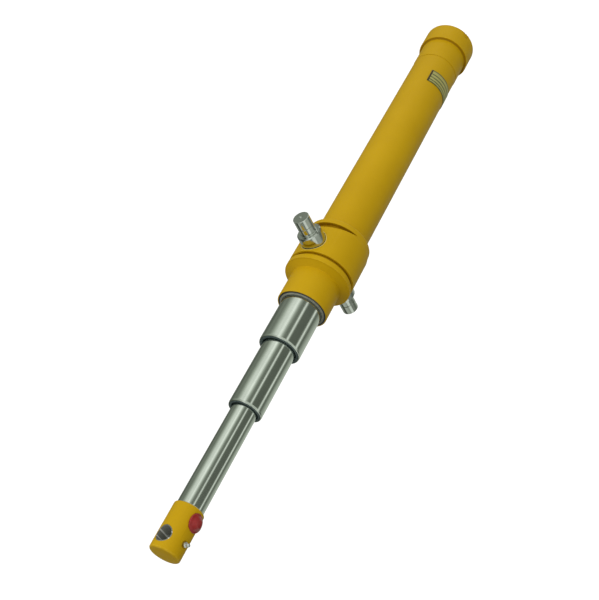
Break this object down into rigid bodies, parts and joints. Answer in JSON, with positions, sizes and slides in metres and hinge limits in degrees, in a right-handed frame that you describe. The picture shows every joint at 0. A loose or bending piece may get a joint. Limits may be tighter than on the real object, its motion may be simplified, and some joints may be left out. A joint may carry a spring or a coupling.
{
  "type": "telescopic hydraulic cylinder",
  "caption": "Trunnion-mounted telescopic hydraulic cylinder, drawn partly extended: painted barrel, chromed stages and a plunger with a round rod eye.",
  "frame": {"origin": "where the trunnion axis crosses the cylinder axis", "axes": "+X along the cylinder towards the rod eye, +Y along the trunnions, +Z towards the side of the oil port, grease nipple and nameplate"},
  "size_m": [1.2815, 0.234, 0.126],
  "materials": {
    "yellow_paint": "satin two-coat enamel over machined and welded steel",
    "hard_chrome": "ground and polished hard chrome",
    "machined_steel": "bright turned steel",
    "spring_steel": "dark oiled spring steel",
    "zinc_plate": "bright zinc plate",
    "guide_bronze": "turned guide bronze",
    "seal_rubber": "dark blue-black polyurethane, smooth",
    "plug_plastic": "moulded dark red polyethylene",
    "plate_aluminium": "anodised, pale olive"
  },
  "bodies": {
    "barrel": {"barrel_tube": "yellow_paint", "base_cap": "yellow_paint", "bleed_screw": "yellow_paint", "nameplate": "plate_aluminium", "trunnion_collar": "yellow_paint", "trunnion_pin_left": "machined_steel", "trunnion_pin_right": "machined_steel", "gland_nut": "yellow_paint", "gland_o_ring": "seal_rubber", "gland_guide_ring": "guide_bronze", "gland_seal": "seal_rubber", "gland_wiper": "seal_rubber"},
    "stage1": {"stage1_tube": "hard_chrome", "stage1_head_guide": "guide_bronze", "stage1_seal": "seal_rubber", "stage1_wiper": "seal_rubber", "stage1_foot_guide": "guide_bronze", "stage1_stop_ring": "spring_steel"},
    "stage2": {"stage2_tube": "hard_chrome", "stage2_head_guide": "guide_bronze", "stage2_seal": "seal_rubber", "stage2_wiper": "seal_rubber", "stage2_foot_guide": "guide_bronze", "stage2_stop_ring": "spring_steel"},
    "plunger_guide": {"plunger_foot_guide": "guide_bronze", "plunger_stop_ring": "spring_steel"},
    "plunger": {"plunger_rod": "hard_chrome", "rod_eye": "yellow_paint", "eye_bush": "machined_steel", "port_plug": "plug_plastic", "grease_nipple": "zinc_plate"}
  },
  "joints": [
    {"name": "stage1_slide", "type": "slide", "parent": "barrel", "child": "stage1", "axis": [1, 0, 0], "range_m": [-0.082, 0.529]},
    {"name": "stage2_slide", "type": "slide", "parent": "stage1", "child": "stage2", "axis": [1, 0, 0], "range_m": [-0.12, 0.5085]},
    {"name": "plunger_slide", "type": "slide", "parent": "stage2", "child": "plunger_guide", "axis": [1, 0, 0], "range_m": [-0.177, 0.47]},
    {"name": "plunger_swivel", "type": "hinge", "parent": "plunger_guide", "child": "plunger", "pos_m": [0.522, 0, 0], "axis": [1, 0, 0], "continuous": true}
  ]
}
